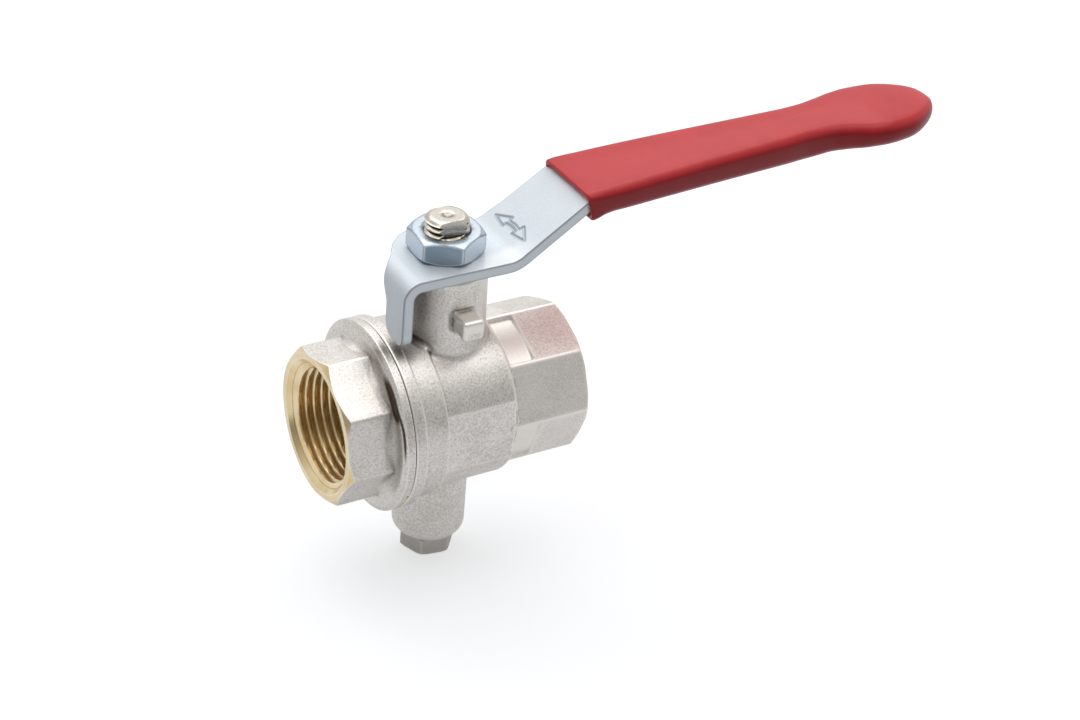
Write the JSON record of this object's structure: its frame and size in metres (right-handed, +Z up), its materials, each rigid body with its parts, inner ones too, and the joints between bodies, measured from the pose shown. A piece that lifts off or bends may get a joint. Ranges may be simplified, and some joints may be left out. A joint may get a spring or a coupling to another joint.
{
  "type": "threaded ball valve",
  "caption": "Two-piece ball valve with internally threaded octagonal ends, a red-sleeved lever handle, a stop lug on the neck and a drain boss with a plug underneath.",
  "frame": {"origin": "on the pipe axis where the inlet thread starts, 1.6 mm inside the inlet face; the stem axis crosses the pipe axis at X = 34.0 mm", "axes": "+X along the pipe from inlet to outlet, which is also where the lever points when the valve is open; +Z up the stem; +Y completes the right-handed set and points away from the viewer of the picture"},
  "size_m": [0.1876, 0.0522, 0.1132],
  "materials": {
    "body": "nickel plated over a blasted casting, machined brass in the threads",
    "connector": "nickel plated, brass left bright on the turned face and threads",
    "ball": "polished chrome plate",
    "stem": "turned and nickel plated",
    "plug": "nickel plated, dull",
    "gland": "turned brass",
    "lever": "zinc plated pressed sheet",
    "nut": "zinc plated",
    "grip": "dipped soft vinyl, satin gloss",
    "ptfe": "white, waxy",
    "rubber": "black, smooth"
  },
  "bodies": {
    "housing": {"valve_body": "body", "end_connector": "connector", "connector_seal": "rubber", "seat_inlet": "ptfe", "seat_outlet": "ptfe", "thrust_washer": "ptfe", "packing_ring": "ptfe", "gland_nut": "gland"},
    "handle": {"stem": "stem", "stem_o_rings": "rubber", "lever": "lever", "grip": "grip", "lever_nut": "nut"},
    "ball": {"ball": "ball"},
    "plug_travel": {"drain_seal": "ptfe"},
    "plug": {"drain_plug": "plug"}
  },
  "joints": [
    {"name": "lever_turn", "type": "hinge", "parent": "housing", "child": "handle", "pos_m": [0.034, 0, 0.042], "axis": [0, 0, 1], "range_deg": [-90, 0]},
    {"name": "ball_turn", "type": "hinge", "parent": "housing", "child": "ball", "pos_m": [0.034, 0, 0], "axis": [0, 0, 1], "range_deg": [-90, 0]},
    {"name": "plug_advance", "type": "slide", "parent": "housing", "child": "plug_travel", "axis": [0, 0, -1], "range_m": [0, 0.0082]},
    {"name": "plug_turn", "type": "hinge", "parent": "plug_travel", "child": "plug", "pos_m": [0.034, 0, -0.045], "axis": [0, 0, -1], "range_deg": [0, 3240]}
  ],
  "couplings": [
    {"joint": "ball_turn", "follows": "lever_turn", "ratio": 1},
    {"joint": "plug_advance", "follows": "plug_turn", "m_per_rad": 0.00014435}
  ]
}
